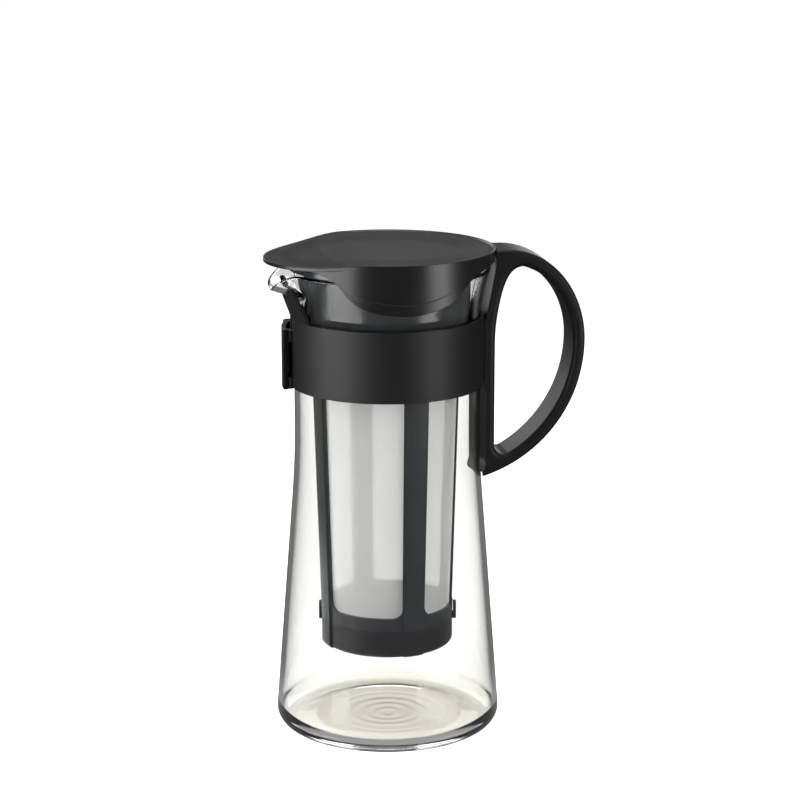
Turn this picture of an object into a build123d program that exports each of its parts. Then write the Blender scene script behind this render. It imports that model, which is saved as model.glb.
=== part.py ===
"""Cold brew coffee maker: a glass jug with a clamped-on handle, a hanging strainer and a lid.

Frame: origin in the middle of the foot on the surface it stands on, +Z up, +X to the handle,
-X to the spout. Millimetres. Azimuths are in degrees about +Z: from +X for the strainer's ribs,
from the spout (-X) for what is grouped round the spout, positive towards -Y.
"""
from math import cos, radians, sin, sqrt
import os

from build123d import *

# --- carafe ---
RIM_Z = 193.6            # height of the mouth's rim; what hangs on the jug is placed from it
FLARE_H = 25.6           # height of the flared mouth
WAIST_H = 40.0           # height of the straight waist
WAIST_R = 38.1           # outside radius of the waist
FOOT_R = 46.5            # widest outside radius, just above the foot
FOOT_CORNER_R = 6.5      # rounded heel of the glass
WAIST_BLEND_R = 360.0    # long curve between taper and waist
FLARE_R = 80.0           # radius of the flare's profile
GLASS = 2.0              # wall
FLOOR = 3.4              # floor in the middle of the foot
FOOT_RECESS = 0.7        # push-up under the floor
FOOT_RING = 8.0          # width of the flat ring that stands on the table
SPOUT_HALF_ANGLE = 27.0  # degrees either side of the spout
SPOUT_REACH = 12.0       # how far the spout stands out from the round mouth
SPOUT_DROOP = 7.6        # how far the lip hangs below the rim
SPOUT_DIP = 0.3          # share of the droop halfway along the lip
SPOUT_FLOOR_RISE = 1.2   # the channel's floor above its underside, for an even wall
LIP_REACH = 7.9          # pouring lip past the round mouth
LIP_SET_BACK = 3.8       # where the rim starts to fall, inside the round mouth

# --- band and clasp ---
BAND_T = 1.3
BAND_H = 28.7
BAND_RISE = 6.0          # band's top above the start of the flare
BAND_GAP = 4.0           # degrees either side of the spout
FIT = 0.15               # between parts pressed together on the jug
CUT_PAST = 9.0           # how far cutters and blanks reach past what they cut
PRONG_H = 14.1
PRONG_LEAN = 5.1         # outward lean over the prong's height
PRONG_ROOT = 7.5         # height of the prong's wide root at the gap
PRONG_SHOULDER = (10.5, 11.0)  # degrees and height of the shoulder on the inner edge
PRONG_TIP = (16.6, 20.6)  # degrees, the narrow top
PRONG_FOOT = 23.5        # degrees, outer edge at the band
CLASP_T = 1.7
CLASP_STANDOFF = 1.9     # dark gap between the band and the clasp plate
CLASP_DROP = 0.7         # clasp's lower edge below the band's
CLASP_H = 24.6
CLASP_NEAR = 4.2         # degrees, free end
HINGE_ANGLE = -25.0      # degrees, clasp hinge
BARREL_R = 1.5
TRUNNION_R = 0.8
TRUNNION_FIT = 0.15
TRUNNION_SHORT = 0.5     # trunnion's end inside the ear's face
EAR_H = 3.0              # height of each hinge ear
EAR_R = 2.1
RUN = 0.35               # running gap between moving parts
HOOK_H = 4.0             # height of each hook of the clasp
HOOK_DEPTH = 1.9         # how far the hooks reach in past the plate
HOOK_ANGLE = (0.8, 3.9)  # degrees from the catch to the hook's faces
CATCH_H = 4.6
CATCH_ANGLE = 2.8        # degrees, width of each catch on the band

# --- handle ---
HANDLE_W = 20.0
HANDLE_RISE = 6.7        # strap's top above the rim
HANDLE_H = 95.1
WIDEST_DROP = 38.8       # widest point of the strap below its top
BAR_T = 5.2              # bar's outer face off the waist
GRIP_ROOM = 32.8         # widest room for the fingers
STRAP = 4.8              # strap thickness
CROWN_SET = 4.7          # strap's highest point past the bar's outer face
TOE_IN = 1.2607          # end of the strap's lower sweep, inside the waist's outside radius
LOWER_MIDDLE = 28.0      # degrees below the widest point, a point on that sweep
ROOT_DROP = 6.2          # strap thickness where it leaves the bar at the top
ROOT_ARC = 76.0          # degrees of the opening's upper curve before it turns into the bar
ROOT_CURVE = ((2.1, 0.57), (5.2, 0.86))  # turn into the bar: run in mm, share of the rise
OPENING_CORNER = 4.0
ROOT_SLOPE = 0.06        # slope of the opening's edge where that turn ends
OUTER_FILLET = 1.6       # rounding of the strap's outer edges
INNER_FILLET = 2.2       # rounding round the finger opening
BAR_GAP = 2.6            # bar's hollow off the glass below the band
TOE_GAP = 1.25           # toe of the bar off the glass
TOE_H = 2.0              # height of the toe's seat
HOLLOW_RAMP = 3.0        # height of each slope between the steps of the hollow
MOUTH_GAP = 0.5          # bar's hollow to the lid's rim
TENON_W = 11.0
TENON_H = 17.0
TENON_T = 1.4

# --- strainer ---
SEAT = 0.2               # left between parts that rest on each other
FLANGE_INSET = 1.7       # flange inside the round mouth's outside radius
FLANGE_T = 2.0
CUP_GAP = 2.1            # cup inside the waist's bore
CUP_H = 19.3             # from the flange's top to where the cup's shoulder starts
SHOULDER_H = 7.0
SHOULDER_IN = 3.1        # how far the shoulder steps in
STRAINER_WALL = 1.5
STRAINER_H = 160.5       # from the flange's top to the cap's foot
BODY_TAPER = 3.8         # lost in radius from the shoulder to the foot
WINDOW_TOP = 26.5        # window's top below the cup
WINDOW_SILL = 5.6        # window's sill above the cap's seam
WINDOW_CORNER = 4.0
RIB_ANGLE = 20.5         # degrees taken by each rib
RIB_PROUD = 0.9
RIB_BEVEL = 1.5          # degrees the raised ridge is narrower than its rib, each side
RIB_COUNT = 4
RIB_START = 13.0         # azimuth of the first rib
MESH_T = 0.35
MESH_LAP = 6.0           # mesh behind the frame above the windows
MESH_GAP = 1.2           # mesh's lower edge above the cap's collar
MESH_GLUE = 0.02         # between the mesh and the frame it is moulded to
CAP_H = 11.3
CAP_FILLET = 2.2
CAP_WALL = 1.6
COLLAR_H = 4.4           # cap's collar inside the frame's ring
COLLAR_T = 1.3
RING_LIP = 0.6           # ring round the collar thicker than the strainer's wall
BAYONET_H = 1.4
BAYONET_RISE = 1.6       # underside of the bayonet track above the seam
BAYONET_PROUD = 0.9
BAYONET_ANGLE = 16.0     # degrees taken by each bayonet lug
TRACK_SPARE = 1.5        # degrees of room past each end of a bayonet lug
TWIST = 25.0             # degrees between locked and open
LUG_AZIMUTH = -10.0      # grip lugs on the cap
LUG_W = 5.0
LUG_BELOW = 1.9          # grip lug below and above the seam
LUG_ABOVE = 4.6
LUG_PROUD = 1.6

# --- lid ---
LID_OVERHANG = 1.5       # lid past the round mouth
LID_RISE = 5.5           # lid's rim above the strainer's flange
NOSE_REACH = 6.6         # how far the nose stands out of the round rim
NOSE_HALF_ANGLE = 60.0
LID_T = 1.4
NOSE_DROOP = 2.9
DROOP_START = 12.0       # X (towards the spout) where the lid starts to droop
DROOP_MIDDLE = (0.69, 0.62)  # shares of the lid's radius and of the droop, a point on its curve
DISH_DEPTH = 1.3
DISH_R = 28.5
DISH_STEP = 0.45         # share of the dish's depth left at the rim's bevel
LIP_BEVEL = 1.2          # width of the narrow raised edge of the rim
LIP_FLAT = 0.3           # top of that edge
SKIRT_T = 1.1
SKIRT_SPAN = 17.5        # half length of the skirt's round lower edge
SKIRT_DROP = 20.0        # lowest point of the skirt under the lid's rim
SKIRT_EDGE_R = 48.0      # radius of the skirt's lower edge
SKIRT_TO_SPOUT = ((23.6, 8.6), (27.4, 12.9), (31.5, 15.0))  # climb of the edge: X, height above its lowest
SKIRT_TO_HANDLE = ((23.6, 8.0), (29.6, 12.4), (35.5, 14.6))
SKIRT_FADE = 4.6         # where the skirt's edge ends under the rim
GRIP_T = 0.9             # finger lip along the skirt's edge
GRIP_H = 4.3
GRIP_SPAN = 21.5
PLUG_GAP = 0.5
PLUG_DEPTH = 7.5
PLUG_T = 1.4


def pt(radius, azimuth, z=0.0):
    """Point at an azimuth from +X."""
    return Vector(radius * cos(radians(azimuth)), radius * sin(radians(azimuth)), z)


def spout_pt(radius, azimuth, z=0.0):
    """Point at an azimuth from the spout, positive towards -Y."""
    return pt(radius, 180.0 + azimuth, z)


def cylinder(radius, bottom, top):
    standing = (Align.CENTER, Align.CENTER, Align.MIN)
    return Pos(0, 0, bottom) * Cylinder(radius, top - bottom, align=standing)


def tube(outer, inner, bottom, top):
    return cylinder(outer, bottom, top) - cylinder(inner, bottom - 1, top + 1)


def cone(r_bottom, r_top, bottom, top):
    standing = (Align.CENTER, Align.CENTER, Align.MIN)
    return Pos(0, 0, bottom) * Cone(r_bottom, r_top, top - bottom, align=standing)


def wedge(start, end, radius, bottom, top):
    """Pie slice between two azimuths from +X."""
    middle = (start + end) / 2
    outline = make_face(
        Polyline((0, 0), *[(pt(radius, a).X, pt(radius, a).Y) for a in (start, middle, end)], close=True)
    )
    return Pos(0, 0, bottom) * extrude(outline, top - bottom)


def side_cut(face, half_width):
    """Face drawn in X and Z, extruded to both sides along Y."""
    return extrude(Plane.XZ * face, half_width, both=True)


# --- carafe ---
FLARE_Z = RIM_Z - FLARE_H
WAIST_Z = FLARE_Z - WAIST_H


def waist_taper():
    """Where the straight taper meets the long curve into the waist: radius, height, slope."""
    slope = 0.0
    for _ in range(40):
        start_z = WAIST_Z - WAIST_BLEND_R * sin(slope)
        start_r = WAIST_R + WAIST_BLEND_R * (1 - cos(slope))
        slope = (FOOT_R - start_r) / (start_z - FOOT_CORNER_R) / sqrt(
            1 + ((FOOT_R - start_r) / (start_z - FOOT_CORNER_R)) ** 2
        )
    return start_r, start_z, slope


def mouth_r(z):
    """Outside radius of the round mouth at a height above the start of the flare."""
    return WAIST_R + FLARE_R - sqrt(FLARE_R**2 - (z - FLARE_Z) ** 2)


MOUTH_R = mouth_r(RIM_Z)
LIP_X = MOUTH_R + LIP_REACH
LID_R = MOUTH_R + LID_OVERHANG

# How the spout grows out of the mouth: depth below the rim, share of its full reach.
SPOUT_GROWTH = (
    (13.6, 0.0), (12.6, 0.004), (11.3, 0.03), (10.0, 0.15), (8.8, 0.45),
    (7.6, 0.74), (6.2, 0.9), (3.6, 0.97), (-1.4, 1.0),
)


def mouth_section(depth, share, offset):
    """Horizontal outline of the mouth: a round arc and the nose of the spout."""
    z = RIM_Z - depth
    radius = mouth_r(z) + offset
    nose = [
        spout_pt(radius + SPOUT_REACH * share * cos(radians(90 * step)) ** 2, step * SPOUT_HALF_ANGLE, z)
        for step in (-1, -0.75, -0.5, -0.25, 0, 0.25, 0.5, 0.75, 1)
    ]
    if share == 0:
        front = ThreePointArc(nose[0], nose[4], nose[-1])
    else:
        ends = [Vector(-end.Y, end.X, 0).normalized() for end in (nose[0], nose[-1])]
        front = Spline(*nose, tangents=ends)
    back = ThreePointArc(nose[-1], pt(radius, 0, z), nose[0])
    return Face(Wire([front, back]))


def mouth_solid(offset=0.0, rise=0.0):
    """The mouth and spout as one filled solid, moved out by an offset."""
    sections = [
        Pos(0, 0, rise * min(share * 3, 1)) * mouth_section(depth, share, offset)
        for depth, share in SPOUT_GROWTH
    ]
    return loft(sections)


def foot_profile(offset):
    """Half section of the filled jug below the mouth, moved in by an offset."""
    taper_r, taper_z, slope = waist_taper()
    top_z = RIM_Z - SPOUT_GROWTH[0][0]
    middle_z = (FLARE_Z + top_z) / 2
    bottom = FLOOR if offset > 0 else 0.0
    waist = WAIST_R - offset
    heel = Line((0, bottom), (FOOT_R - offset - FOOT_CORNER_R, bottom))
    corner = CenterArc((FOOT_R - offset - FOOT_CORNER_R, FOOT_CORNER_R + bottom), FOOT_CORNER_R, -90, 90)
    side = Line(corner @ 1, (taper_r - offset, taper_z))
    blend = Spline(
        side @ 1, (waist, WAIST_Z), tangents=((-sin(slope), cos(slope)), (0, 1))
    )
    neck = Line(blend @ 1, (waist, FLARE_Z))
    flare = ThreePointArc(
        neck @ 1, (mouth_r(middle_z) - offset, middle_z), (mouth_r(top_z) - offset, top_z)
    )
    ends = Polyline(flare @ 1, (0, top_z), (0, bottom))
    return make_face([heel, corner, side, blend, neck, flare, ends])


def jug(offset=0.0, rise=0.0):
    """The whole jug as one filled solid, moved out by an offset."""
    return revolve(Plane.XZ * foot_profile(-offset), Axis.Z) + mouth_solid(offset, rise)


def carafe():
    outer = jug()
    inner = jug(-GLASS, SPOUT_FLOOR_RISE)
    recess = cylinder(FOOT_R - FOOT_CORNER_R - FOOT_RING, -1, FOOT_RECESS)
    far = FOOT_R + LIP_X
    high = RIM_Z + far
    start = LIP_SET_BACK - MOUTH_R
    rim = Polyline((start, RIM_Z), (far, RIM_Z), (far, high), (-far, high))
    fall = Spline(
        (start, RIM_Z), ((start - LIP_X) / 2, RIM_Z - SPOUT_DIP * SPOUT_DROOP),
        (-LIP_X, RIM_Z - SPOUT_DROOP), tangents=((-1, 0), (-1, -1)),
    )
    end = Polyline(fall @ 1, (-far, RIM_Z - SPOUT_DROOP), (-far, high))
    over_rim = side_cut(make_face([rim, fall, end]), far)
    past_lip = Pos(-LIP_X - far, 0, RIM_Z) * Box(2 * far, 2 * far, 2 * far)
    return outer - inner - recess - over_rim - past_lip


# --- band and clasp ---
BAND_TOP = FLARE_Z + BAND_RISE
BAND_BOTTOM = BAND_TOP - BAND_H
PRONG_TOP = BAND_TOP + PRONG_H
CLASP_BOTTOM = BAND_BOTTOM - CLASP_DROP
CLASP_TOP = CLASP_BOTTOM + CLASP_H
BAND_IN = WAIST_R + FIT
BAND_OUT = BAND_IN + BAND_T
CLASP_IN = BAND_OUT + CLASP_STANDOFF
CLASP_OUT = CLASP_IN + CLASP_T
HINGE_R = CLASP_IN + CLASP_T / 2


def prong(side):
    """Blade beside the spout: leans out with the flare. side is 1 towards -Y, -1 towards +Y."""
    lean = cone(BAND_OUT, BAND_OUT + PRONG_LEAN, BAND_TOP, PRONG_TOP)
    inside = cone(BAND_IN, BAND_IN + PRONG_LEAN, BAND_TOP - 0.01, PRONG_TOP + 0.01)
    outline = [
        (BAND_GAP, BAND_TOP), (BAND_GAP, BAND_TOP + PRONG_ROOT),
        (PRONG_SHOULDER[0], BAND_TOP + PRONG_SHOULDER[1]),
        (PRONG_TIP[0], PRONG_TOP), (PRONG_TIP[1], PRONG_TOP), (PRONG_FOOT, BAND_TOP),
    ]
    far = BAND_OUT + PRONG_LEAN
    corners = [(-side * far * sin(radians(a)), z) for a, z in outline]
    window = make_face(Polyline(*corners, close=True))
    blade = extrude(Plane.YZ * window, -far)
    return (lean - inside) & blade


def ears():
    """Two ears on the band that carry the clasp's trunnions, each on a web to the band."""
    axis = spout_pt(HINGE_R, HINGE_ANGLE)
    foot = spout_pt(BAND_IN + BAND_T / 2, HINGE_ANGLE)
    outline = make_hull(
        [*(Pos(axis.X, axis.Y) * Circle(EAR_R)).edges(), *(Pos(foot.X, foot.Y) * Circle(EAR_R)).edges()]
    )
    ear = extrude(outline, EAR_H) - cylinder(BAND_IN, -1, EAR_H + 1)
    bore = Pos(axis.X, axis.Y, 0) * cylinder(TRUNNION_R + TRUNNION_FIT, -1, EAR_H + 1)
    ear = ear - bore
    return Pos(0, 0, BAND_BOTTOM) * ear + Pos(0, 0, CLASP_TOP - EAR_H) * ear


def band():
    ring = tube(BAND_OUT, BAND_IN, BAND_BOTTOM, BAND_TOP)
    ring = ring - wedge(180 - BAND_GAP, 180 + BAND_GAP, BAND_OUT + CUT_PAST, BAND_BOTTOM - 1, BAND_TOP + 1)
    ring = ring + prong(1) + prong(-1) + ears()
    catch = wedge(180 + BAND_GAP, 180 + BAND_GAP + CATCH_ANGLE, BAND_OUT + CUT_PAST, 0, CATCH_H)
    catch = catch & tube(CLASP_IN - RUN, BAND_IN, 0, CATCH_H)
    ring = ring + Pos(0, 0, BAND_BOTTOM) * catch + Pos(0, 0, CLASP_TOP - CATCH_H) * catch
    middle = (BAND_BOTTOM + BAND_TOP) / 2
    tenon = Pos(BAND_OUT, 0, middle) * Box(2 * TENON_T, TENON_W, TENON_H)
    ring = ring + (tenon - cylinder(BAND_IN, BAND_BOTTOM, BAND_TOP))
    return ring - jug(FIT)


def band_clasp():
    axis = spout_pt(HINGE_R, HINGE_ANGLE)
    plate = tube(CLASP_OUT, CLASP_IN, CLASP_BOTTOM, CLASP_TOP)
    plate = plate & wedge(180 + HINGE_ANGLE, 180 + CLASP_NEAR, CLASP_OUT + CUT_PAST, CLASP_BOTTOM, CLASP_TOP)
    clear = EAR_R + RUN
    ear_room = cylinder(clear, -1, EAR_H + RUN + 1)
    plate = plate - Pos(axis.X, axis.Y, CLASP_BOTTOM) * ear_room
    plate = plate - Pos(axis.X, axis.Y, CLASP_TOP - EAR_H - RUN) * ear_room
    low, high = BAND_BOTTOM + EAR_H + RUN, CLASP_TOP - EAR_H - RUN
    barrel = Pos(axis.X, axis.Y) * cylinder(BARREL_R, low, high)
    pins = Pos(axis.X, axis.Y) * cylinder(
        TRUNNION_R, BAND_BOTTOM + TRUNNION_SHORT, CLASP_TOP - TRUNNION_SHORT
    )
    hook = tube(CLASP_IN + CLASP_T / 2, CLASP_IN - HOOK_DEPTH, 0, HOOK_H)
    near, far = HOOK_ANGLE
    hook = hook & wedge(180 + BAND_GAP - far, 180 + BAND_GAP - near, CLASP_OUT + CUT_PAST, 0, HOOK_H)
    hooks = Pos(0, 0, CLASP_BOTTOM) * hook + Pos(0, 0, CLASP_TOP - HOOK_H) * hook
    return plate + barrel + pins + hooks


# --- handle ---
HANDLE_TOP = RIM_Z + HANDLE_RISE
HANDLE_FOOT = HANDLE_TOP - HANDLE_H
WIDEST_Z = HANDLE_TOP - WIDEST_DROP
BAR_FACE = WAIST_R + BAR_T
OPENING_REACH = BAR_FACE + GRIP_ROOM
CROWN_X = BAR_FACE + CROWN_SET
TOE_X = WAIST_R - TOE_IN
TOE_SPAN = OPENING_REACH + STRAP - TOE_X
LOWER_R = (TOE_SPAN**2 + (WIDEST_Z - HANDLE_FOOT) ** 2) / (2 * TOE_SPAN)  # upright at the widest point
SWEEP_X = OPENING_REACH + STRAP - LOWER_R


def sweep_z(radius, x):
    """Height of the strap's lower sweep at a distance from the axis."""
    return WIDEST_Z - sqrt(radius**2 - (x - SWEEP_X) ** 2)


def lower_sweep(radius, start):
    """The strap's lower arc, from its start up to the widest point."""
    middle = radians(LOWER_MIDDLE)
    return ThreePointArc(
        start,
        (SWEEP_X + radius * cos(middle), WIDEST_Z - radius * sin(middle)),
        (SWEEP_X + radius, WIDEST_Z),
    )


def handle_side():
    """Side view of the bar and the strap, without the opening."""
    lower = lower_sweep(LOWER_R, (TOE_X, HANDLE_FOOT))
    upper = EllipticalCenterArc(
        (CROWN_X, WIDEST_Z), OPENING_REACH + STRAP - CROWN_X, HANDLE_TOP - WIDEST_Z, arc_size=90
    )
    inside = WAIST_R - BAR_T
    back = Polyline(upper @ 1, (inside, HANDLE_TOP), (inside, HANDLE_FOOT), (TOE_X, HANDLE_FOOT))
    return make_face([lower, upper, back])


def handle_opening():
    """Side view of the finger opening."""
    half_h = HANDLE_TOP - ROOT_DROP - WIDEST_Z
    upper = EllipticalCenterArc(
        (CROWN_X, WIDEST_Z), OPENING_REACH - CROWN_X, half_h, arc_size=ROOT_ARC
    )
    foot = (BAR_FACE, sweep_z(LOWER_R - STRAP, BAR_FACE))
    lower = lower_sweep(LOWER_R - STRAP, foot)
    bar = Line(foot, (BAR_FACE, WIDEST_Z))
    rise = (upper @ 1).Y - WIDEST_Z
    turn = [(BAR_FACE + run, WIDEST_Z + share * rise) for run, share in ROOT_CURVE]
    root = Spline(bar @ 1, *turn, upper @ 1, tangents=((0, 1), (1, ROOT_SLOPE)))
    opening = make_face([lower, upper, root, bar])
    corner = opening.vertices().sort_by(Axis.Y)[0]
    return fillet(corner, OPENING_CORNER)


def bar_hollow():
    """The round hollow in the bar: toe by the glass, clear of it, seated on the band, clear of the lid."""
    toe_r = WAIST_R + TOE_GAP
    low_r = WAIST_R + BAR_GAP
    seat_r = BAND_OUT + FIT
    top_r = LID_R + MOUTH_GAP
    toe_z = HANDLE_FOOT + TOE_H
    outline = Polyline(
        (0, HANDLE_FOOT - 1), (toe_r, HANDLE_FOOT - 1), (toe_r, toe_z), (low_r, toe_z + HOLLOW_RAMP),
        (low_r, BAND_BOTTOM - HOLLOW_RAMP), (seat_r, BAND_BOTTOM), (seat_r, BAND_TOP - HOLLOW_RAMP),
        (low_r, BAND_TOP), (top_r, RIM_Z), (top_r, HANDLE_TOP + 1), (0, HANDLE_TOP + 1), close=True,
    )
    return revolve(Plane.XZ * make_face(outline), Axis.Z)


def handle():
    body = side_cut(handle_side(), HANDLE_W / 2)
    outer = [e for e in body.edges() if abs(e.center().Y) > HANDLE_W / 2 - 0.01 and e.center().X > BAR_FACE]
    body = fillet(outer, OUTER_FILLET)
    hole = side_cut(handle_opening(), HANDLE_W)
    body = body - hole
    inner = [
        e for e in body.edges()
        if abs((e @ 0.5).Y) > HANDLE_W / 2 - 0.01 and hole.distance_to(e @ 0.5) < 0.01
    ]
    body = fillet(inner, INNER_FILLET)
    middle = (BAND_BOTTOM + BAND_TOP) / 2
    pocket = Pos(BAND_OUT, 0, middle) * Box(2 * (TENON_T + FIT), TENON_W + 2 * FIT, TENON_H + 2 * FIT)
    return body - bar_hollow() - pocket


# --- strainer ---
FLANGE_Z = RIM_Z + SEAT
FLANGE_TOP = FLANGE_Z + FLANGE_T
FLANGE_R = MOUTH_R - FLANGE_INSET
CUP_R = WAIST_R - GLASS - CUP_GAP
CUP_BOTTOM = FLANGE_TOP - CUP_H
BODY_TOP = CUP_BOTTOM - SHOULDER_H
BODY_TOP_R = CUP_R - SHOULDER_IN
BODY_FOOT_R = BODY_TOP_R - BODY_TAPER
CAP_BOTTOM = FLANGE_TOP - STRAINER_H
CAP_SEAM = CAP_BOTTOM + CAP_H
FRAME_TAPER = BODY_TAPER / (BODY_TOP - CAP_SEAM)
WINDOW_HIGH = CUP_BOTTOM - WINDOW_TOP
WINDOW_LOW = CAP_SEAM + WINDOW_SILL
COLLAR_TOP = CAP_SEAM + COLLAR_H
RING_IN = BODY_FOOT_R - STRAINER_WALL - RING_LIP


def body_r(z):
    """Outside radius of the strainer's tapered body."""
    return BODY_FOOT_R + FRAME_TAPER * (z - CAP_SEAM)


def body_cone(inset, bottom, top):
    return cone(body_r(bottom) - inset, body_r(top) - inset, bottom, top)


def rib_ridges(bottom, top, proud):
    """The raised ridges down the ribs."""
    shell = body_cone(-proud, bottom, top) - body_cone(STRAINER_WALL / 2, bottom - 1, top + 1)
    half = RIB_ANGLE / 2 - RIB_BEVEL
    ridges = Part()
    for rib in range(RIB_COUNT):
        azimuth = RIB_START + rib * 360 / RIB_COUNT
        ridges += shell & wedge(azimuth - half, azimuth + half, 2 * BODY_TOP_R, bottom, top)
    return ridges


def windows():
    """The four window cutters, with rounded corners."""
    half_angle = radians((360 / RIB_COUNT - RIB_ANGLE) / 2)
    sill = body_r(WINDOW_LOW) * sin(half_angle)
    head = body_r(WINDOW_HIGH) * sin(half_angle)
    pane = make_face(Polyline(
        (-sill, WINDOW_LOW), (sill, WINDOW_LOW), (head, WINDOW_HIGH), (-head, WINDOW_HIGH), close=True,
    ))
    pane = fillet(pane.vertices(), WINDOW_CORNER)
    cutter = extrude(Plane.YZ * pane, 2 * BODY_TOP_R)
    panes = Part()
    for rib in range(RIB_COUNT):
        panes += Rot(0, 0, RIB_START + (rib + 0.5) * 360 / RIB_COUNT) * cutter
    return panes


def strainer_frame():
    outer = cylinder(FLANGE_R, FLANGE_Z, FLANGE_TOP) + cylinder(CUP_R, CUP_BOTTOM, FLANGE_TOP)
    outer += cone(BODY_TOP_R, CUP_R, BODY_TOP, CUP_BOTTOM) + body_cone(0, CAP_SEAM, BODY_TOP)
    cup_in = CUP_R - STRAINER_WALL
    inner = cylinder(cup_in, CUP_BOTTOM, FLANGE_TOP + 1)
    inner += cone(BODY_TOP_R - STRAINER_WALL, cup_in, BODY_TOP, CUP_BOTTOM)
    inner += body_cone(STRAINER_WALL, COLLAR_TOP + 1, BODY_TOP)
    inner += cylinder(RING_IN, CAP_SEAM - 1, COLLAR_TOP + 2)
    frame = outer - inner - windows() + rib_ridges(CAP_SEAM, BODY_TOP, RIB_PROUD)
    groove_bottom = CAP_SEAM + BAYONET_RISE
    track = tube(RING_IN + BAYONET_PROUD, RING_IN - 1, groove_bottom, groove_bottom + BAYONET_H + 2 * FIT)
    entry = tube(RING_IN + BAYONET_PROUD, RING_IN - 1, CAP_SEAM - 1, groove_bottom + BAYONET_H + 2 * FIT)
    half = BAYONET_ANGLE / 2 + TRACK_SPARE
    for azimuth in (LUG_AZIMUTH, LUG_AZIMUTH + 180):
        locked, free = azimuth + half, azimuth - TWIST - half
        frame -= track & wedge(free, locked, 2 * RING_IN, 0, RIM_Z)
        frame -= entry & wedge(free, free + 2 * half, 2 * RING_IN, 0, RIM_Z)
    return frame


def strainer_mesh():
    bottom, top = COLLAR_TOP + MESH_GAP, WINDOW_HIGH + MESH_LAP
    outer = STRAINER_WALL + MESH_GLUE
    return body_cone(outer, bottom, top) - body_cone(outer + MESH_T, bottom - 1, top + 1)


def rounded_base(radius, bottom, top):
    """Cylinder with a rounded bottom edge."""
    solid = cylinder(radius, bottom, top)
    return fillet(solid.faces().sort_by(Axis.Z)[0].edges(), CAP_FILLET)


def strainer_cap():
    skirt_top = CAP_SEAM - SEAT
    collar_r = RING_IN - RUN
    cap = rounded_base(BODY_FOOT_R, CAP_BOTTOM, skirt_top)
    cap -= cylinder(BODY_FOOT_R - CAP_WALL, CAP_BOTTOM + CAP_WALL, skirt_top - CAP_WALL)
    cap -= cylinder(collar_r - COLLAR_T, CAP_BOTTOM + CAP_WALL, skirt_top + 1)
    cap += tube(collar_r, collar_r - COLLAR_T, skirt_top - CAP_WALL, COLLAR_TOP)
    ridge_shell = rounded_base(BODY_FOOT_R + RIB_PROUD, CAP_BOTTOM, skirt_top)
    ridge_shell -= cylinder(BODY_FOOT_R - CAP_WALL / 2, CAP_BOTTOM - 1, skirt_top + 1)
    half = RIB_ANGLE / 2 - RIB_BEVEL
    for rib in range(RIB_COUNT):
        azimuth = RIB_START + rib * 360 / RIB_COUNT
        cap += ridge_shell & wedge(azimuth - half, azimuth + half, 2 * BODY_FOOT_R, CAP_BOTTOM, skirt_top)
    groove_bottom = CAP_SEAM + BAYONET_RISE
    bayonet = tube(RING_IN + BAYONET_PROUD - RUN, collar_r - COLLAR_T, 0, BAYONET_H)
    grip_r = BODY_FOOT_R + LUG_PROUD
    lug_low, lug_high = CAP_SEAM - LUG_BELOW, CAP_SEAM + LUG_ABOVE
    tongue_in = body_r(lug_high) + RUN
    half = BAYONET_ANGLE / 2
    for azimuth in (LUG_AZIMUTH, LUG_AZIMUTH + 180):
        lug = bayonet & wedge(azimuth - half, azimuth + half, 2 * RING_IN, 0, BAYONET_H)
        cap += Pos(0, 0, groove_bottom + FIT) * lug
        tongue = Rot(0, 0, azimuth) * Pos(grip_r, 0, (lug_low + lug_high) / 2) * Box(
            grip_r, LUG_W, lug_high - lug_low
        )
        low = tube(grip_r, BODY_FOOT_R - CAP_WALL / 2, lug_low, skirt_top)
        high = tube(grip_r, tongue_in, skirt_top, lug_high)
        cap += tongue & (low + high)
    return cap


# --- lid ---
LID_TOP = FLANGE_TOP + LID_RISE
SKIRT_LOW = LID_TOP - SKIRT_DROP


def lid_outline():
    """Plan of the lid: round, with the nose over the spout."""
    steps = (-1, -0.75, -0.5, -0.25, 0, 0.25, 0.5, 0.75, 1)
    nose = [
        spout_pt(LID_R + NOSE_REACH * cos(radians(90 * step)) ** 2, step * NOSE_HALF_ANGLE) for step in steps
    ]
    back = ThreePointArc(nose[-1], (LID_R, 0), nose[0])
    first = Vector(-nose[0].Y, nose[0].X)
    last = Vector(-nose[-1].Y, nose[-1].X)
    return make_face([Spline(*nose, tangents=(first.normalized(), last.normalized())), back])


def under_lid_top():
    """Everything under the lid's top face: its outline, its drooping nose and its dish."""
    past = LID_R + NOSE_REACH + 2
    low = SKIRT_LOW - CUT_PAST
    middle_x, middle_drop = DROOP_MIDDLE
    droop = Spline(
        (-DROOP_START, LID_TOP), (-LID_R * middle_x, LID_TOP - middle_drop * NOSE_DROOP),
        (-past, LID_TOP - NOSE_DROOP), tangents=((-1, 0), (-1, 0)),
    )
    sides = Polyline(droop @ 1, (-past, low), (past, low), (past, LID_TOP), droop @ 0)
    bent = side_cut(make_face([droop, sides]), past)
    dish = Polyline(
        (0, LID_TOP - DISH_DEPTH), (DISH_R, LID_TOP - DISH_DEPTH),
        (LID_R - LIP_BEVEL, LID_TOP - DISH_DEPTH * DISH_STEP), (LID_R - LIP_FLAT, LID_TOP),
        (past, LID_TOP), (past, LID_TOP + 2), (0, LID_TOP + 2), close=True,
    )
    above = revolve(Plane.XZ * make_face(dish), Axis.Z)
    return (Pos(0, 0, low) * extrude(lid_outline(), LID_TOP - low + 1) & bent) - above


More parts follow.
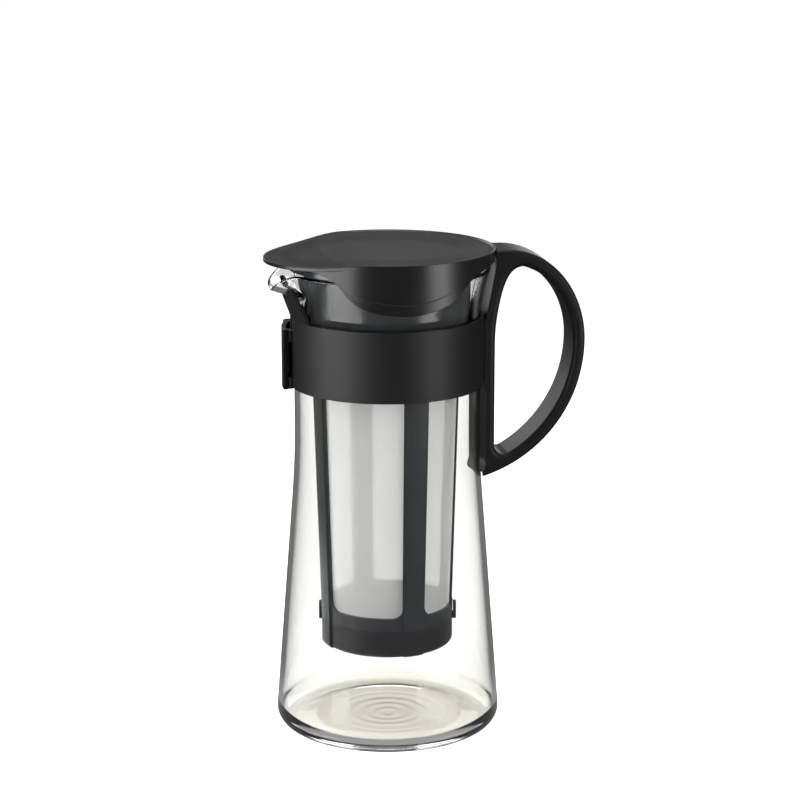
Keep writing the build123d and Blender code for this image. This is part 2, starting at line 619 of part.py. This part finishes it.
def skirt_side():
    """Side view of the space above the skirt's scalloped lower edge."""
    sag = SKIRT_EDGE_R - sqrt(SKIRT_EDGE_R**2 - SKIRT_SPAN**2)
    slope = SKIRT_SPAN / (SKIRT_EDGE_R - sag)
    edge_z = LID_TOP - SKIRT_FADE
    middle = ThreePointArc((-SKIRT_SPAN, SKIRT_LOW + sag), (0, SKIRT_LOW), (SKIRT_SPAN, SKIRT_LOW + sag))
    climb = [(x, SKIRT_LOW + height) for x, height in SKIRT_TO_HANDLE]
    right = Spline(middle @ 1, *climb, (LID_R + GRIP_T, edge_z), tangents=((1, slope), (1, 0)))
    climb = [(-x, SKIRT_LOW + height) for x, height in SKIRT_TO_SPOUT]
    left = Spline(middle @ 0, *climb, (-LID_R - GRIP_T, edge_z), tangents=((-1, slope), (-1, 0)))
    top = Polyline(right @ 1, (LID_R + GRIP_T, LID_TOP + 2), (-LID_R - GRIP_T, LID_TOP + 2), left @ 1)
    return make_face([left, middle, right, top])


def grip_side():
    """Side view of the crescent of the finger lip, down past the skirt's edge."""
    ends = SKIRT_LOW + GRIP_H + SKIRT_EDGE_R - sqrt(SKIRT_EDGE_R**2 - GRIP_SPAN**2)
    back = ThreePointArc((GRIP_SPAN, ends), (0, SKIRT_LOW + GRIP_H), (-GRIP_SPAN, ends))
    below = Polyline(back @ 1, (-GRIP_SPAN, SKIRT_LOW - 1), (GRIP_SPAN, SKIRT_LOW - 1), back @ 0)
    return make_face([back, below])


def lid():
    under = under_lid_top()
    plate = under - Pos(0, 0, -LID_T) * under
    room = Pos(0, 0, -LID_T / 2) * under
    side = side_cut(skirt_side(), LID_R + 2)
    skirt = tube(LID_R, LID_R - SKIRT_T, SKIRT_LOW - 1, LID_TOP) & side & room
    flare = cone(LID_R + GRIP_T, LID_R, SKIRT_LOW, SKIRT_LOW + 2 * GRIP_H)
    flare = flare - cylinder(LID_R - SKIRT_T / 2, SKIRT_LOW - 1, LID_TOP)
    grip = flare & side_cut(grip_side(), LID_R + 2) & side
    plug_r = CUP_R - STRAINER_WALL - PLUG_GAP
    plug = tube(plug_r, plug_r - PLUG_T, FLANGE_TOP - PLUG_DEPTH, LID_TOP)
    foot = tube(CUP_R + PLUG_T, CUP_R, FLANGE_TOP + SEAT, LID_TOP)
    return plate + skirt + grip + ((plug + foot) & room)


NODES = {
    "carafe": carafe,
    "handle": handle,
    "band": band,
    "band_clasp": band_clasp,
    "strainer_frame": strainer_frame,
    "strainer_mesh": strainer_mesh,
    "strainer_cap": strainer_cap,
    "lid": lid,
}

os.makedirs("parts", exist_ok=True)
for name, build in NODES.items():
    solid = build()
    solid.label = name
    export_step(solid, f"parts/{name}.step")
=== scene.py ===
import math

import bpy
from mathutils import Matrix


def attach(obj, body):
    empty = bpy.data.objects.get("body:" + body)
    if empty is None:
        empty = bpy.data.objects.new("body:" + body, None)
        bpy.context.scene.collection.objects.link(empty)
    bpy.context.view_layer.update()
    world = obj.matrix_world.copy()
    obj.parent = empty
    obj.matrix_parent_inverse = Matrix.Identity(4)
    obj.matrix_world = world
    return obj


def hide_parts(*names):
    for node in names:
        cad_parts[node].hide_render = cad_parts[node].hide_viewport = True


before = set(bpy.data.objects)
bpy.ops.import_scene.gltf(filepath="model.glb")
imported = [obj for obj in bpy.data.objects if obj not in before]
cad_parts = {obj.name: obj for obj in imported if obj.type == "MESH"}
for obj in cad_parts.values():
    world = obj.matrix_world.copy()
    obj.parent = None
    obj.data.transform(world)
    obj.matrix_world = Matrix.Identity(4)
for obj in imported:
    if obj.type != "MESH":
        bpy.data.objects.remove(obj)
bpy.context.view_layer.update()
scene = bpy.context.scene
scene.view_settings.view_transform = "Standard"

# --- Studio ---
# A long lens about a metre from the jug, 13.4 degrees above level and a little to the spout's side.
# The jug stands on a white sweep between a wide soft box on the spout's side and a narrow one on
# the handle's, each with a fill above it. More boxes stand behind it and overhead.
CAMERA_PLACE = (-0.1724, -0.9779, 0.375)
CAMERA_PITCH = 13.44     # degrees below level
CAMERA_BEARING = 79.70   # degrees from +X, the way it looks
AIM_HEIGHT = 0.12        # of the soft boxes, a little above the jug's middle
WHITE_IN_GLASS = 0.18    # share of the white surround that clear glass mirrors
WHITE_IN_PLASTIC = 0.06  # and that plastic mirrors
bpy.ops.object.camera_add(
    location=CAMERA_PLACE,
    rotation=(math.radians(90 - CAMERA_PITCH), 0, math.radians(CAMERA_BEARING - 90)),
)
camera = bpy.context.object
camera.name = "studio_camera"
camera.data.lens = 111.87
camera.data.sensor_width = 36
camera.data.clip_start = 0.01
scene.camera = camera


def fresh_tree(owner):
    """The empty node tree of a material or world."""
    owner.use_nodes = True
    owner.node_tree.nodes.clear()
    return owner.node_tree


def add_node(tree, kind, values=None, **settings):
    """Adds a node. The values of its inputs are numbers, colours or other nodes' sockets."""
    node = tree.nodes.new("ShaderNode" + kind)
    for name, setting in settings.items():
        setattr(node, name, setting)
    for socket, value in (values or {}).items():
        if isinstance(value, bpy.types.NodeSocket):
            tree.links.new(value, node.inputs[socket])
        else:
            node.inputs[socket].default_value = value
    return node


def made(tree, kind, values=None, **settings):
    """The first output of an added node."""
    return add_node(tree, kind, values, **settings).outputs[0]


def maths(tree, operation, first, *second):
    """A Math node on sockets or plain numbers."""
    return made(tree, "Math", dict(enumerate((first, *second))), operation=operation)


def map_range(tree, value, source, target, **settings):
    """A value between the source's two ends, turned into one between the target's."""
    ends = {"From Min": source[0], "From Max": source[1], "To Min": target[0], "To Max": target[1]}
    return made(tree, "MapRange", {"Value": value, **ends}, **settings)


def mix_shaders(tree, share, first, second):
    """One shader where the share is 0, the other where it is 1."""
    return made(tree, "MixShader", {0: share, 1: first, 2: second})


def seen_share(tree):
    """How much of the white surround a ray meets.

    All of it straight from the camera or through clear glass, a little where it is mirrored, and
    none where the ray lights a surface.
    """
    path = add_node(tree, "LightPath").outputs
    turns = maths(tree, "ADD", path["Glossy Depth"], path["Diffuse Depth"])
    through = maths(tree, "MAXIMUM", path["Is Camera Ray"], path["Is Transmission Ray"])
    straight = maths(tree, "MULTIPLY", maths(tree, "LESS_THAN", turns, 0.5), through)
    glass_mirror = maths(tree, "MULTIPLY", path["Is Glossy Ray"], path["Is Singular Ray"])
    any_mirror = maths(tree, "MAXIMUM", path["Is Glossy Ray"], path["Is Transmission Ray"])
    in_glass = maths(tree, "MULTIPLY", glass_mirror, WHITE_IN_GLASS)
    in_plastic = maths(tree, "MULTIPLY", any_mirror, WHITE_IN_PLASTIC)
    return maths(tree, "MAXIMUM", straight, maths(tree, "MAXIMUM", in_glass, in_plastic))


# The room lights surfaces evenly, and the camera sees it white. Through glass and mirrored it is
# darker above level, and bright overhead.
world = bpy.data.worlds.new("studio_room")
scene.world = world
room = fresh_tree(world)
room_share = seen_share(room)
room_camera = add_node(room, "LightPath").outputs["Is Camera Ray"]
room_way = add_node(room, "TexCoord").outputs["Generated"]
room_height = add_node(room, "SeparateXYZ", {0: room_way}).outputs["Z"]
room_walls = map_range(room, room_height, (0.02, 0.16), (1.0, 0.28))
room_ceiling = map_range(room, room_height, (0.38, 0.70), (0.0, 10.0))
room_wall = maths(room, "MAXIMUM", maths(room, "ADD", room_walls, room_ceiling), room_camera)
room_strength = maths(room, "MULTIPLY", room_wall, room_share)
room_light = made(room, "Background", {"Color": (1.0, 0.99, 0.975, 1), "Strength": 0.25})
room_white = made(room, "Background", {"Color": (1, 1, 1, 1), "Strength": room_strength})
room_mix = mix_shaders(room, maths(room, "CEIL", room_share), room_light, room_white)
add_node(room, "OutputWorld", {"Surface": room_mix})

bpy.ops.object.select_all(action="DESELECT")
bpy.ops.mesh.primitive_plane_add(size=8, location=(0, 0, -0.0002))
floor = bpy.context.object
floor.name = "studio_floor"
floor_paper = bpy.data.materials.new("white_paper_sweep")
paper = fresh_tree(floor_paper)
paper_share = seen_share(paper)
paper_path = add_node(paper, "LightPath").outputs
paper_place = add_node(paper, "TexCoord").outputs["Object"]
paper_xyz = add_node(paper, "SeparateXYZ", {0: paper_place}).outputs
paper_reach = add_node(paper, "VectorMath", {0: paper_place}, operation="LENGTH").outputs["Value"]
paper_lit = made(paper, "BsdfDiffuse", {"Color": (0.86, 0.86, 0.855, 1)})

# Seen straight, the paper glows white. Through glass it glows less, and hardly at all under the
# jug's foot, which paints a shadow there.
paper_under = map_range(paper, paper_reach, (0.040, 0.060), (0.02, 0.40))
paper_far = map_range(paper, paper_reach, (0.9, 1.8), (0.0, 0.40))
paper_through = maths(paper, "ADD", paper_under, paper_far)
paper_strength = map_range(paper, paper_path["Is Camera Ray"], (0.0, 1.0), (paper_through, 0.80))
paper_glow = made(paper, "Emission", {"Strength": paper_strength})
paper_seen = made(paper, "AddShader", {0: paper_lit, 1: paper_glow})

# Mirrored, it is pale round the foot, and bright in one patch on the spout's side that only the parts
# inside the jug mirror: that patch is a painted highlight on them.
paper_near = map_range(paper, paper_reach, (0.06, 0.16), (0.35, 0.0))
patch_front = map_range(paper, paper_xyz["Y"], (-0.085, -0.060), (0.0, 1.0))
patch_right = map_range(paper, paper_xyz["X"], (-0.02, 0.02), (1.0, 0.0))
patch_outer = map_range(paper, paper_reach, (0.22, 0.32), (1.0, 0.0))
patch = maths(paper, "MULTIPLY", maths(paper, "MULTIPLY", patch_front, patch_right), patch_outer)
past_four_faces = maths(paper, "GREATER_THAN", paper_path["Transmission Depth"], 3.5)
patch_inside = maths(paper, "MULTIPLY", patch, past_four_faces)
paper_pale = maths(paper, "MAXIMUM", paper_near, patch_inside)
paper_dim = made(paper, "Emission", {"Strength": maths(paper, "MAXIMUM", paper_pale, paper_share)})
paper_gloss = mix_shaders(paper, maths(paper, "CEIL", paper_share), paper_lit, paper_dim)
paper_mix = mix_shaders(paper, maths(paper, "FLOOR", paper_share), paper_gloss, paper_seen)
add_node(paper, "OutputMaterial", {"Surface": paper_mix})
floor.data.materials.append(floor_paper)


def soft_box(name, azimuth, distance, height, width, tall, watts, mirrored=True):
    """A rectangular soft box aimed at the jug. One that isn't mirrored only fills the shadows."""
    bearing = math.radians(azimuth)
    bpy.ops.object.light_add(
        type="AREA", location=(distance * math.cos(bearing), distance * math.sin(bearing), height)
    )
    lamp = bpy.context.object
    lamp.name = name
    lamp.data.shape = "RECTANGLE"
    lamp.data.size, lamp.data.size_y = width, tall
    lamp.data.energy = watts
    tilt = math.atan2(height - AIM_HEIGHT, distance)
    lamp.rotation_euler = (math.radians(90) - tilt, 0, math.radians(azimuth + 90))
    lamp.visible_camera = False
    lamp.visible_glossy = mirrored


# Azimuth in degrees, then distance, height, width and tallness in metres, then watts.
soft_box("soft_box_spout_side", 200, 0.6, 0.135, 0.60, 0.21, 3.0)
soft_box("fill_spout_side", 200, 0.6, 0.325, 0.60, 0.17, 2.1, False)
soft_box("soft_box_handle_side", 316, 0.6, 0.135, 0.24, 0.21, 1.2)
soft_box("fill_handle_side", 316, 0.6, 0.385, 0.24, 0.29, 1.45, False)
soft_box("soft_box_behind", 79.7, 1.0, 0.50, 0.12, 0.45, 0.045)
soft_box("soft_box_back_right", 58, 0.7, 0.32, 0.26, 0.50, 1.0)
soft_box("soft_box_back_left", 101, 0.7, 0.32, 0.26, 0.50, 1.0)
soft_box("soft_box_overhead", 79.7, 0.05, 0.85, 0.40, 0.40, 2.0)

# --- Glass carafe ---
# Clear heat-resistant glass, blown in a mould and fire-polished at the rim: a wide foot, a long
# taper, a straight waist for the band and a flared mouth with the spout drawn out of it while hot.
# All its sizes are in mm, and its angles in degrees.
RIM_Z, FLARE_Z, WAIST_Z = 193.6, 168.0, 128.0
WAIST_R, FOOT_R, HEEL_R, FLARE_R = 38.1, 46.5, 6.5, 80.0
WALL, FLOOR_Z = 2.0, 3.4
RECESS, RING_STEP = 0.42, 0.5               # push-up under the foot, step between its points
RINGS_END, RINGS_FADE = 26.0, 4.0           # radius where the mould rings end, width of their fading
TAPER_R, TAPER_Z = 39.193, 99.97            # upper end of the straight taper
TAPER_LEAN, BLEND_R = 4.4655, 360.0         # the taper's lean and the long curve up to the waist
ROLL = 0.85                                 # height of the rim's rolled edge
SPOUT_START, SPOUT_REACH, SPOUT_HALF = 180.0, 12.0, 27.0
SPOUT_FLOOR_RISE = 1.2                      # the channel's floor above its underside
LIP_START, LIP_RUN = 38.506, 11.7           # from the axis to where the rim starts to fall, and on
SPOUT_ZONE = 40                             # half angle of the rim that the spout reshapes
TOP = RIM_Z - ROLL
AXIS_R = 0.02                               # radius of the section's two ends, next to the axis


def mouth_radius(z):
    """Outside radius of the flared mouth at a height."""
    return WAIST_R + FLARE_R - math.sqrt(FLARE_R**2 - (z - FLARE_Z) ** 2)


def smooth_between(knots, x):
    """A smooth curve through knots of (x, y) that never overshoots them."""
    if x <= knots[0][0]:
        return knots[0][1]
    if x >= knots[-1][0]:
        return knots[-1][1]
    steps = [(b[1] - a[1]) / (b[0] - a[0]) for a, b in zip(knots, knots[1:])]
    slopes = [steps[0]] + [
        0 if p * q <= 0 else 2 * p * q / (p + q) for p, q in zip(steps, steps[1:])
    ] + [steps[-1]]
    i = max(k for k in range(len(knots) - 1) if knots[k][0] <= x)
    (x0, y0), (x1, y1) = knots[i], knots[i + 1]
    h = x1 - x0
    t = (x - x0) / h
    return (
        (2 * t**3 - 3 * t**2 + 1) * y0 + (t**3 - 2 * t**2 + t) * h * slopes[i]
        + (-2 * t**3 + 3 * t**2) * y1 + (t**3 - t**2) * h * slopes[i + 1]
    )


def under_foot():
    """The recess with its faint mould rings, from the axis out to the flat ring it stands on."""
    points = [(AXIS_R, RECESS)]
    for step in range(1, round(RINGS_END / RING_STEP) + 1):
        radius = step * RING_STEP
        # Even waves, and one taller ring 20 mm from the axis.
        ring = 0.045 * math.sin(radius * 1.15) + 0.05 * math.exp(-((radius - 20) / 1.3) ** 2)
        points.append((radius, RECESS - ring * min(1.0, (RINGS_END - radius) / RINGS_FADE)))
    return points + [
        (28.0, 0.405), (30.0, 0.36), (32.0, 0.27), (34.0, 0.15), (36.0, 0.05), (38.0, 0.0), (40.0, 0.0)
    ]


def outer_wall():
    """The outside from the top of the heel to the root of the rim's roll."""
    points = [
        (FOOT_R + (TAPER_R - FOOT_R) * k / 10, HEEL_R + (TAPER_Z - HEEL_R) * k / 10)
        for k in range(1, 11)
    ]
    for k in range(1, 9):
        lean = math.radians(TAPER_LEAN) * (1 - k / 8)
        points.append((WAIST_R + BLEND_R * (1 - math.cos(lean)), WAIST_Z - BLEND_R * math.sin(lean)))
    points += [(WAIST_R, 141.0), (WAIST_R, 155.0), (WAIST_R, FLARE_Z)]
    heights = [FLARE_Z + (SPOUT_START - FLARE_Z) * k / 8 for k in range(1, 9)]
    heights += [SPOUT_START + (TOP - SPOUT_START) * k / 44 for k in range(1, 45)]
    return points + [(mouth_radius(z), z) for z in heights]


def glass_profile():
    """The wall in section, (radius, height): under the foot, up, over the rim and down inside."""
    points = under_foot()
    for step in range(1, 15):
        turn = math.radians(-90 + 90 * step / 14)
        points.append((FOOT_R - HEEL_R + HEEL_R * math.cos(turn), HEEL_R + HEEL_R * math.sin(turn)))
    outside = outer_wall()
    points += outside
    middle = mouth_radius(TOP) - WALL / 2
    for step in range(1, 10):
        turn = math.pi * step / 10
        points.append((middle + WALL / 2 * math.cos(turn), TOP + ROLL * math.sin(turn)))
    inner_heel_r, inner_heel_z = FOOT_R - WALL - HEEL_R, FLOOR_Z + HEEL_R
    points += [(r - WALL, z) for r, z in reversed(outside) if z > inner_heel_z]
    for step in range(0, 15):
        turn = math.radians(-90 * step / 14)
        points.append((inner_heel_r + HEEL_R * math.cos(turn), inner_heel_z + HEEL_R * math.sin(turn)))
    return points + [(30.0, FLOOR_Z), (20.0, 3.37), (10.0, 3.33), (AXIS_R, 3.32)]


def turned(name, profile, steps):
    """Draws a section point by point and spins it round the upright axis, as on a lathe."""
    bpy.ops.object.select_all(action="DESELECT")
    bpy.ops.mesh.primitive_plane_add(size=0.002, location=(0, 0, 0))
    piece = bpy.context.object
    piece.name = name
    bpy.ops.object.mode_set(mode="EDIT")
    bpy.ops.mesh.select_all(action="SELECT")
    bpy.ops.mesh.merge(type="CENTER")
    bpy.ops.transform.translate(value=(profile[0][0] / 1000, 0, profile[0][1] / 1000))
    for (r0, z0), (r1, z1) in zip(profile, profile[1:]):
        bpy.ops.mesh.extrude_region_move(
            TRANSFORM_OT_translate={"value": ((r1 - r0) / 1000, 0, (z1 - z0) / 1000)}
        )
    bpy.ops.mesh.select_all(action="SELECT")
    bpy.ops.mesh.spin(steps=steps, angle=2 * math.pi, center=(0, 0, 0), axis=(0, 0, 1))
    bpy.ops.mesh.select_all(action="SELECT")
    bpy.ops.mesh.remove_doubles(threshold=0.00003)
    bpy.ops.mesh.select_all(action="SELECT")
    bpy.ops.mesh.normals_make_consistent(inside=False)
    bpy.ops.object.mode_set(mode="OBJECT")
    bpy.ops.object.shade_smooth()
    return piece


carafe = turned("glass_carafe", glass_profile(), 224)

# Share of the spout's reach at a depth below the rim, and the rim's fall at a share of its run.
SPOUT_GROWTH = (
    (-1.4, 1.0), (3.6, 0.97), (6.2, 0.9), (7.6, 0.74), (8.8, 0.45),
    (10.0, 0.15), (11.3, 0.03), (12.6, 0.004), (13.6, 0.0),
)
LIP_FALL = ((0.0, 0.0), (0.25, 0.62), (0.5, 2.28), (0.75, 4.72), (1.0, 7.6))


def spout_wall(z, away, inside):
    """Radius of the mouth's outer or inner wall at a height and an angle from the spout."""
    nose = math.cos(math.radians(90 * away / SPOUT_HALF)) ** 2 if abs(away) < SPOUT_HALF else 0.0
    depth = RIM_Z - z + (SPOUT_FLOOR_RISE if inside else 0.0)
    reach = SPOUT_REACH * nose * smooth_between(SPOUT_GROWTH, depth)
    return mouth_radius(z) - (WALL if inside else 0.0) + reach


def rim_height(away, inside):
    """Height of the rim's edge there: level round the mouth, falling to the lip."""
    z = RIM_Z
    for _ in range(40):
        along = spout_wall(z, away, inside) * math.cos(math.radians(away))
        fall = smooth_between(LIP_FALL, (along - LIP_START) / LIP_RUN)
        z += 0.5 * (RIM_Z - fall - z)
    return z - ROLL


rims = {}
for vertex in carafe.data.vertices:
    r, z = math.hypot(vertex.co.x, vertex.co.y) * 1000, vertex.co.z * 1000
    if z < SPOUT_START + 0.01 or r < 30:
        continue
    bearing = math.atan2(vertex.co.y, vertex.co.x)
    away = round((math.degrees(bearing) % 360) - 180, 3)
    if abs(away) > SPOUT_ZONE:
        continue
    if away not in rims:
        rims[away] = rim_height(away, False), rim_height(away, True)
    climb = min(1.0, (z - SPOUT_START) / (TOP - SPOUT_START))
    share = min(1.0, max(0.0, (r - mouth_radius(min(z, TOP)) + WALL) / WALL))
    outer_z, inner_z = (SPOUT_START + climb * (rim - SPOUT_START) for rim in rims[away])
    outer_r, inner_r = spout_wall(outer_z, away, False), spout_wall(inner_z, away, True)
    proud = max(0.0, z - TOP)
    across = math.hypot(outer_r - inner_r, outer_z - inner_z)
    new_r = inner_r + share * (outer_r - inner_r) + proud * (inner_z - outer_z) / across
    new_z = inner_z + share * (outer_z - inner_z) + proud * (outer_r - inner_r) / across
    vertex.co = (
        new_r / 1000 * math.cos(bearing), new_r / 1000 * math.sin(bearing), new_z / 1000
    )

# The glass is tinted by the angle that it is seen at: hardly at all square on, and dark edge on,
# where a ray passes more of it. That dark edge is partly painted shade, deeper than the glass's own tint.
EDGE_TINTS_AND_SHADE = (
    (0.60, (0.956, 0.961, 0.942)),
    (0.78, (0.92, 0.925, 0.90)),
    (0.88, (0.60, 0.60, 0.57)),
    (0.95, (0.40, 0.40, 0.37)),
    (1.00, (0.12, 0.12, 0.11)),
)
clear_glass = bpy.data.materials.new("clear_borosilicate_glass")
glass = fresh_tree(clear_glass)
edge_on = add_node(glass, "LayerWeight", {"Blend": 0.5}).outputs["Facing"]
edge_tint_and_shade = add_node(glass, "ValToRGB", {0: edge_on})
stops = edge_tint_and_shade.color_ramp.elements
stops[0].position, stops[1].position = EDGE_TINTS_AND_SHADE[0][0], EDGE_TINTS_AND_SHADE[-1][0]
for facing, _ in EDGE_TINTS_AND_SHADE[1:-1]:
    stops.new(facing)
for stop, (_, tint) in zip(stops, EDGE_TINTS_AND_SHADE):
    stop.color = (*tint, 1)
glass_place = add_node(glass, "TexCoord").outputs["Object"]
glass_waves = made(glass, "TexNoise", {"Vector": glass_place, "Scale": 26.0, "Detail": 1.0})
glass_bump = made(glass, "Bump", {"Height": glass_waves, "Strength": 0.05, "Distance": 0.001})
glass_body = made(glass, "BsdfPrincipled", {
    "Base Color": edge_tint_and_shade.outputs["Color"],
    "Transmission Weight": 1.0,
    "Roughness": 0.0,
    "IOR": 1.47,
    "Normal": glass_bump,
})
lamp_through = made(glass, "BsdfTransparent", {"Color": (0.932, 0.909, 0.879, 1)})
lamp_ray = add_node(glass, "LightPath").outputs["Is Shadow Ray"]
glass_mix = mix_shaders(glass, lamp_ray, glass_body, lamp_through)
add_node(glass, "OutputMaterial", {"Surface": glass_mix})
carafe.data.materials.append(clear_glass)
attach(carafe, "jug")
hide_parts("carafe")

# --- Band ---
# Black nylon band sprung round the waist, with a blade each side of the spout and two ears for the
# clasp. Injection-moulded with a fine spark-eroded texture.


def moulded_plastic(name, colour, flow_colour, roughness, grain, edge, specular):
    """Moulded plastic: a fine tool texture, faint paler flow marks, and rounded edges."""
    material = bpy.data.materials.new(name)
    tree = fresh_tree(material)
    place = add_node(tree, "TexCoord").outputs["Object"]
    flow = add_node(tree, "TexNoise", {"Vector": place, "Scale": 38.0, "Detail": 3.0}).outputs["Fac"]
    texture = add_node(tree, "TexNoise", {"Vector": place, "Scale": 2600.0, "Detail": 2.0})
    tint = add_node(
        tree, "Mix", {0: flow, 6: (*colour, 1), 7: (*flow_colour, 1)}, data_type="RGBA"
    )
    rounded = add_node(tree, "Bevel", {"Radius": edge}, name="rounded_edges", samples=4)
    bump = add_node(tree, "Bump", {
        "Strength": grain,
        "Distance": 0.00006,
        "Height": texture.outputs["Fac"],
        "Normal": rounded.outputs[0],
    }, name="grain")
    body = made(tree, "BsdfPrincipled", {
        "Base Color": tint.outputs[2],
        "Roughness": map_range(tree, flow, (0.0, 1.0), (roughness - 0.05, roughness + 0.06)),
        "IOR": 1.5,
        "Specular IOR Level": specular,
        "Normal": bump.outputs[0],
    })
    add_node(tree, "OutputMaterial", {"Surface": body})
    return material


def finish_node(name, material):
    """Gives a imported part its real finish."""
    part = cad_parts[name]
    part.data.materials.clear()
    part.data.materials.append(material)


finish_node("band", moulded_plastic(
    "black_nylon_band", (0.003, 0.0033, 0.0033), (0.006, 0.0064, 0.0064),
    roughness=0.50, grain=0.25, edge=0.00035, specular=0.42,
))

# --- Clasp ---
# Curved plate of black nylon on moulded pins, hooked over the band's two catches behind the spout.
# It is a little smoother than the band.
finish_node("band_clasp", moulded_plastic(
    "black_nylon_clasp", (0.003, 0.003, 0.003), (0.005, 0.005, 0.005),
    roughness=0.38, grain=0.2, edge=0.0003, specular=0.25,
))

# --- Handle ---
# One piece of black nylon: the bar against the band and the strap, wide enough for four fingers.
# Its edges are rounded a little more than those of the other pieces.
finish_node("handle", moulded_plastic(
    "black_nylon_handle", (0.003, 0.0034, 0.0032), (0.006, 0.0064, 0.006),
    roughness=0.46, grain=0.3, edge=0.0005, specular=0.25,
))

# --- Strainer frame ---
# Dark grey polypropylene with a blue cast: flange, cup and four ribs, moulded round the mesh.
# It is smooth, with no grain.
finish_node("strainer_frame", moulded_plastic(
    "dark_grey_strainer_frame", (0.010, 0.0135, 0.0150), (0.015, 0.0195, 0.0215),
    roughness=0.20, grain=0.0, edge=0.0003, specular=0.45,
))

# --- Strainer mesh ---
# Fine white nylon cloth, nearly four threads to the millimetre, held taut by the ribs.
# The weave and its holes are on the outer face alone, and the inner face is left clear.
THREAD_PITCH, MESH_R = 0.00026, 0.0275        # metres; at this radius the warp has that pitch too
MESH_LEAN, MESH_MIDDLE = 0.030919, 0.0239642  # halfway through the cloth, radius = lean x height + middle
WARP_THREADS = round(2 * math.pi * MESH_R / THREAD_PITCH)
white_mesh = bpy.data.materials.new("white_nylon_mesh")
cloth = fresh_tree(white_mesh)
cloth_place = add_node(cloth, "TexCoord").outputs["Object"]
cloth_xyz = add_node(cloth, "SeparateXYZ", {0: cloth_place}).outputs
cloth_x, cloth_y, cloth_z = (cloth_xyz[axis] for axis in "XYZ")
around = maths(cloth, "ARCTAN2", cloth_y, cloth_x)
warp = maths(cloth, "SINE", maths(cloth, "MULTIPLY", around, WARP_THREADS))
weft = maths(cloth, "SINE", maths(cloth, "MULTIPLY", cloth_z, 2 * math.pi / THREAD_PITCH))
threads = maths(cloth, "MAXIMUM", warp, weft)
open_share = map_range(cloth, threads, (-1.0, 1.0), (0.52, 0.26))
cloth_reach = maths(cloth, "SQRT", maths(
    cloth, "ADD", maths(cloth, "POWER", cloth_x, 2.0), maths(cloth, "POWER", cloth_y, 2.0)
))
cloth_lean = maths(cloth, "MULTIPLY", cloth_z, MESH_LEAN)
inner_face = maths(cloth, "LESS_THAN", maths(cloth, "SUBTRACT", cloth_reach, cloth_lean), MESH_MIDDLE)
cloth_bump = made(cloth, "Bump", {"Strength": 0.3, "Distance": 0.0001, "Height": threads})
cloth_body = made(cloth, "BsdfPrincipled", {
    "Base Color": (0.562, 0.575, 0.59, 1),
    "Roughness": 0.55,
    "Sheen Weight": 0.25,
    "Normal": cloth_bump,
})
cloth_glow = made(cloth, "BsdfTranslucent", {"Color": (0.682, 0.69, 0.694, 1)})
cloth_solid = mix_shaders(cloth, 0.38, cloth_body, cloth_glow)
cloth_open = maths(cloth, "MAXIMUM", open_share, inner_face)
cloth_holes = made(cloth, "BsdfTransparent")
cloth_mix = mix_shaders(cloth, cloth_open, cloth_solid, cloth_holes)
add_node(cloth, "OutputMaterial", {"Surface": cloth_mix})
finish_node("strainer_mesh", white_mesh)

# --- Strainer cap ---
# Turned on by its bayonet. The same polypropylene, its colour a shade darker as painted shade,
# because nothing shines through it.
finish_node("strainer_cap", moulded_plastic(
    "grey_cap_painted_shade", (0.003, 0.0035, 0.0038), (0.006, 0.0068, 0.0074),
    roughness=0.24, grain=0.0, edge=0.0003, specular=0.4,
))

# --- Lid ---
# Black polypropylene, smoother than the band, with a dished top and a finger lip on its skirt.
# A broad bump in its finish makes the dish mirror as if it were deeper and rounder.
BUMP_START, BUMP_END, BUMP_HEIGHT = 0.022, 0.0432, 0.0022  # radii and height, in metres
lid_plastic = moulded_plastic(
    "black_lid", (0.004, 0.0043, 0.004), (0.008, 0.0085, 0.008),
    roughness=0.30, grain=0.12, edge=0.00045, specular=0.40,
)
pressed = lid_plastic.node_tree
lid_place = add_node(pressed, "TexCoord").outputs["Object"]
lid_flat = made(pressed, "VectorMath", {0: lid_place, 1: (1, 1, 0)}, operation="MULTIPLY")
lid_reach = add_node(pressed, "VectorMath", {0: lid_flat}, operation="LENGTH").outputs["Value"]
lid_dish = map_range(
    pressed, lid_reach, (BUMP_START, BUMP_END), (0.0, 1.0), interpolation_type="SMOOTHSTEP"
)
lid_hollow = made(pressed, "Bump", {
    "Strength": 1.0,
    "Distance": BUMP_HEIGHT,
    "Height": lid_dish,
    "Normal": pressed.nodes["rounded_edges"].outputs[0],
})
pressed.links.new(lid_hollow, pressed.nodes["grain"].inputs["Normal"])
finish_node("lid", lid_plastic)
